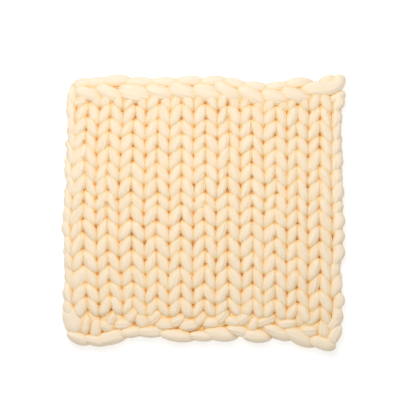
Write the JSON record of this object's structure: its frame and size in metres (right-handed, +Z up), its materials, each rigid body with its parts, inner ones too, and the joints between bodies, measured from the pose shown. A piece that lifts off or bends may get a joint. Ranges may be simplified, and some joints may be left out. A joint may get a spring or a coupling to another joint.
{
  "type": "chunky knit blanket",
  "caption": "Small square blanket knitted in very thick soft roving, with plump V stitches, a bound-off chain edge and a cast-on edge.",
  "frame": {"origin": "middle of the footprint, on the surface that the blanket lies on", "axes": "+Z up out of the knit side, +Y towards the bound-off chain edge, +X to the right along the courses"},
  "size_m": [0.6022, 0.5852, 0.046],
  "materials": {
    "wool": "matte, softly fibrous cream roving, unspun"
  },
  "bodies": {
    "root": {"knit_blanket": "wool"}
  },
  "joints": []
}
